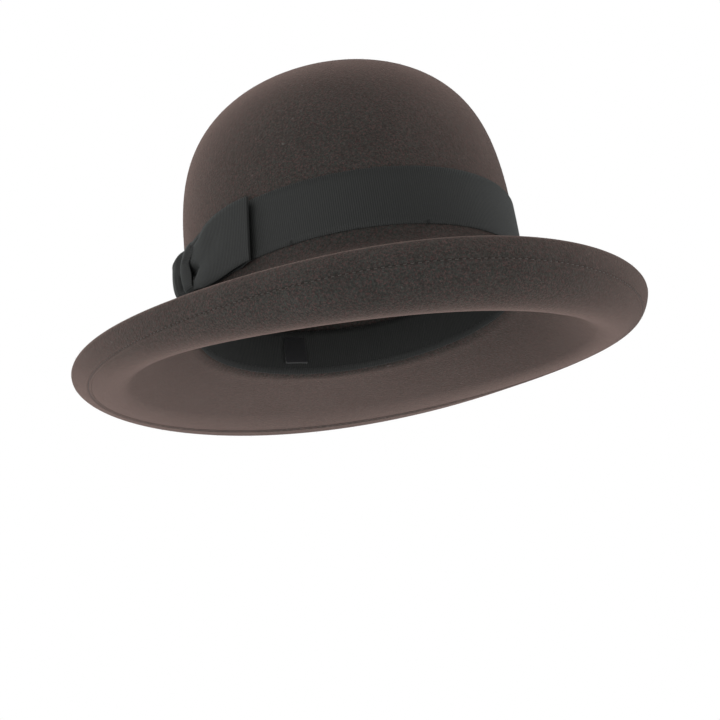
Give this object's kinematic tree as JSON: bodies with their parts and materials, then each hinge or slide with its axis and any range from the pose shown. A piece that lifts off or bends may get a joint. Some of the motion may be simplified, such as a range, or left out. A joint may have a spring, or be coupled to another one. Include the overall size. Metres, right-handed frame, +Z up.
{
  "type": "bowler hat",
  "caption": "Round-crowned brown wool felt hat with a wired brim that drops and rolls up at its welted edge, a dark grosgrain ribbon, a flat side bow and an inner sweatband.",
  "frame": {"origin": "centre of the head opening, at the height where the crown turns into the brim", "axes": "+Z up through the crown's tip, -Y towards the front of the hat, +X towards the wearer's left"},
  "size_m": [0.3032, 0.3653, 0.1918],
  "materials": {
    "felt": "fuzzy brown wool felt with a soft nap, matte",
    "grosgrain": "dark green-black grosgrain, fine cross ribs, slight sheen",
    "sweatband_grosgrain": "black grosgrain, fine cross ribs",
    "satin": "black satin tape, smooth sheen, blank",
    "thread": "dark brown spun thread",
    "spring_steel": "plain bright spring steel"
  },
  "bodies": {
    "root": {"felt_body": "felt", "crown_ribbon": "grosgrain", "bow_front_loop": "grosgrain", "bow_rear_loop": "grosgrain", "bow_knot": "grosgrain", "sweatband": "sweatband_grosgrain", "size_tag": "satin", "brim_wire": "spring_steel", "wire_joiner": "spring_steel", "welt_needle_thread": "thread", "welt_bobbin_thread": "thread", "sweatband_thread": "thread", "ribbon_tack_front": "thread", "ribbon_tack_left": "thread", "ribbon_tack_back": "thread", "ribbon_tack_right_front": "thread", "bow_tack_front_top": "thread", "bow_tack_front_bottom": "thread", "bow_tack_rear_top": "thread", "bow_tack_rear_bottom": "thread"}
  },
  "joints": []
}
